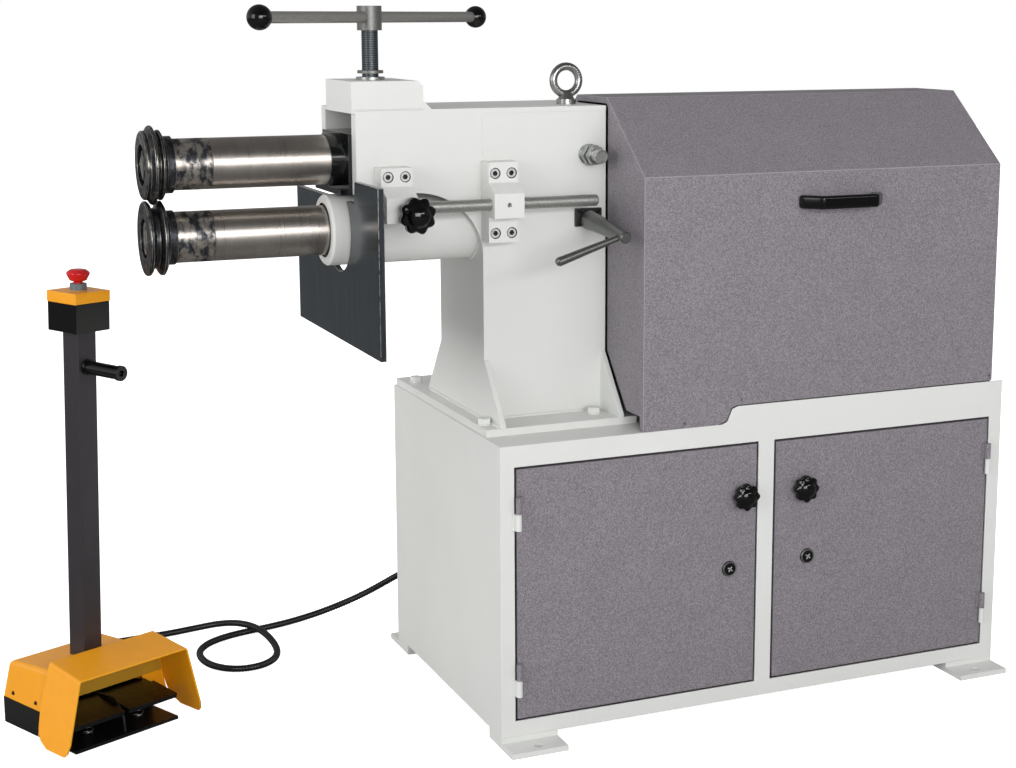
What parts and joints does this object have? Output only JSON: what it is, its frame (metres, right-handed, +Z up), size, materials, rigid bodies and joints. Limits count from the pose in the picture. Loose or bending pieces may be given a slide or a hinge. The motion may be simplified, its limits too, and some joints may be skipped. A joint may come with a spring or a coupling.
{
  "type": "beading machine",
  "caption": "Motor-driven beading machine with two forming rollers on overhung shafts, a cabinet with doors, a sheet cover and a foot pedal station with a stop button.",
  "frame": {"origin": "on the floor, at the centre of the four anchor holes under the cabinet", "axes": "+X along the machine from the rollers towards the cover, -Y towards the operator and the doors, +Z up"},
  "size_m": [1.7981, 0.8622, 1.268],
  "materials": {
    "white_paint": "satin",
    "grey_hammer_paint": "hammertone",
    "turned_steel": "turned",
    "worn_black_steel": "worn",
    "blue_black_paint": "satin",
    "zinc_steel": "plated",
    "grey_paint": "satin",
    "black_plastic": "gloss",
    "yellow_paint": "gloss",
    "black_paint": "wrinkle",
    "stalk_paint": "satin",
    "red_plastic": "gloss"
  },
  "bodies": {
    "machine": {"cabinet_body": "white_paint", "anchor_feet": "white_paint", "door_hinge_pins": "white_paint", "frame_base_plate": "white_paint", "frame_column": "white_paint", "frame_arm": "white_paint", "lower_tube": "white_paint", "base_bolts": "white_paint", "gear_cover": "grey_hammer_paint", "cover_handle": "black_plastic", "lower_shaft_bearings": "worn_black_steel", "pivot_studs": "zinc_steel", "spindle_nut": "zinc_steel", "eye_bolt": "zinc_steel", "left_rod_bracket": "white_paint", "middle_rod_bracket": "white_paint", "bracket_screws": "worn_black_steel", "lever_bracket": "worn_black_steel", "gear_reducer": "grey_paint", "drive_motor": "grey_paint", "reducer_pedestal": "white_paint", "control_panel": "grey_paint", "pedal_base": "black_paint", "pedal_hood": "yellow_paint", "pedal_stalk": "stalk_paint", "stalk_grip": "black_plastic", "estop_box": "yellow_paint", "left_pedal_spring": "zinc_steel", "right_pedal_spring": "zinc_steel", "conduit_glands": "zinc_steel", "pedal_conduit": "black_plastic"},
    "left_door": {"left_door": "grey_hammer_paint"},
    "right_door": {"right_door": "grey_hammer_paint"},
    "left_door_knob": {"left_door_knob": "black_plastic"},
    "right_door_knob": {"right_door_knob": "black_plastic"},
    "left_door_lock": {"left_door_lock": "turned_steel"},
    "right_door_lock": {"right_door_lock": "turned_steel"},
    "lower_shaft_set": {"lower_shaft": "turned_steel", "lower_roller": "worn_black_steel", "lower_spacer": "worn_black_steel", "lower_gear": "zinc_steel", "shaft_coupling": "zinc_steel", "lower_roller_nut": "worn_black_steel"},
    "carrier": {"upper_bearing_block": "worn_black_steel", "upper_trunnion_housing": "worn_black_steel"},
    "upper_shaft_set": {"upper_shaft": "turned_steel", "upper_roller": "worn_black_steel", "upper_spacer": "worn_black_steel", "upper_gear": "zinc_steel", "upper_roller_nut": "worn_black_steel"},
    "pressure_pad": {"pressure_pad": "zinc_steel"},
    "pressure_screw": {"pressure_screw": "zinc_steel"},
    "tee_bar": {"tee_bar": "zinc_steel"},
    "material_stop": {"stop_plate": "blue_black_paint", "stop_rod": "zinc_steel"},
    "clamp_knob": {"clamp_knob": "black_plastic"},
    "lever": {"lever_arm": "grey_paint"},
    "estop_button": {"estop_button": "red_plastic"},
    "left_pedal": {"left_pedal": "black_paint"},
    "right_pedal": {"right_pedal": "black_paint"}
  },
  "joints": [
    {"name": "left_door_hinge", "type": "hinge", "parent": "machine", "child": "left_door", "pos_m": [-0.482, -0.291, 0.27], "axis": [0, 0, -1], "range_deg": [0, 110]},
    {"name": "right_door_hinge", "type": "hinge", "parent": "machine", "child": "right_door", "pos_m": [0.481, -0.291, 0.27], "axis": [0, 0, 1], "range_deg": [0, 110]},
    {"name": "left_knob_turn", "type": "hinge", "parent": "left_door", "child": "left_door_knob", "pos_m": [-0.045, -0.284, 0.403], "axis": [0, -1, 0], "range_deg": [0, 90]},
    {"name": "right_knob_turn", "type": "hinge", "parent": "right_door", "child": "right_door_knob", "pos_m": [0.078, -0.284, 0.405], "axis": [0, 1, 0], "range_deg": [0, 90]},
    {"name": "left_lock_turn", "type": "hinge", "parent": "left_door", "child": "left_door_lock", "pos_m": [-0.072, -0.284, 0.27], "axis": [0, -1, 0], "range_deg": [0, 90]},
    {"name": "right_lock_turn", "type": "hinge", "parent": "right_door", "child": "right_door_lock", "pos_m": [0.09, -0.284, 0.274], "axis": [0, 1, 0], "range_deg": [0, 90]},
    {"name": "lower_spin", "type": "hinge", "parent": "machine", "child": "lower_shaft_set", "pos_m": [-0.6, -0.055, 0.89], "axis": [1, 0, 0], "continuous": true},
    {"name": "upper_tilt", "type": "hinge", "parent": "machine", "child": "carrier", "pos_m": [-0.282, -0.055, 1.01], "axis": [0, 1, 0], "range_deg": [0, 2.58]},
    {"name": "upper_spin", "type": "hinge", "parent": "carrier", "child": "upper_shaft_set", "pos_m": [-0.6, -0.055, 1.01], "axis": [1, 0, 0], "continuous": true},
    {"name": "pad_lift", "type": "slide", "parent": "machine", "child": "pressure_pad", "axis": [0, 0, 1], "range_m": [0, 0.0167]},
    {"name": "screw_turn", "type": "hinge", "parent": "pressure_pad", "child": "pressure_screw", "pos_m": [-0.655, -0.055, 1.15], "axis": [0, 0, 1], "range_deg": [0, 1980]},
    {"name": "tee_slide", "type": "slide", "parent": "pressure_screw", "child": "tee_bar", "axis": [0.7902, 0.6129, 0], "range_m": [-0.29, 0.24]},
    {"name": "stop_slide", "type": "slide", "parent": "machine", "child": "material_stop", "axis": [1, 0, 0], "range_m": [-0.13, 0.015]},
    {"name": "clamp_turn", "type": "hinge", "parent": "machine", "child": "clamp_knob", "pos_m": [-0.6295, -0.19, 0.926], "axis": [0, -1, 0], "range_deg": [0, 270]},
    {"name": "lever_turn", "type": "hinge", "parent": "machine", "child": "lever", "pos_m": [-0.285, -0.139, 0.896], "axis": [0, -0.9951, -0.0993], "range_deg": [-60, 60]},
    {"name": "stop_button_push", "type": "slide", "parent": "machine", "child": "estop_button", "axis": [-0.0259, 0.0038, -0.9997], "range_m": [0, 0.004], "stiffness_N_per_m": 3000, "springref_m": -0.002},
    {"name": "left_pedal_press", "type": "hinge", "parent": "machine", "child": "left_pedal", "pos_m": [-1.18188, 0.09089, 0.038], "axis": [0.9063, 0.4226, 0], "range_deg": [0, 8], "stiffness_Nm_per_rad": 20, "springref_deg": -2.86, "deforming": ["left_pedal_spring"]},
    {"name": "right_pedal_press", "type": "hinge", "parent": "machine", "child": "right_pedal", "pos_m": [-1.08218, 0.13737, 0.038], "axis": [0.9063, 0.4226, 0], "range_deg": [0, 8], "stiffness_Nm_per_rad": 20, "springref_deg": -2.86, "deforming": ["right_pedal_spring"]}
  ],
  "couplings": [
    {"joint": "upper_spin", "follows": "lower_spin", "ratio": -1},
    {"joint": "pad_lift", "follows": "screw_turn", "m_per_rad": 0.00047746},
    {"joint": "upper_tilt", "follows": "screw_turn", "ratio": 0.0012801}
  ]
}
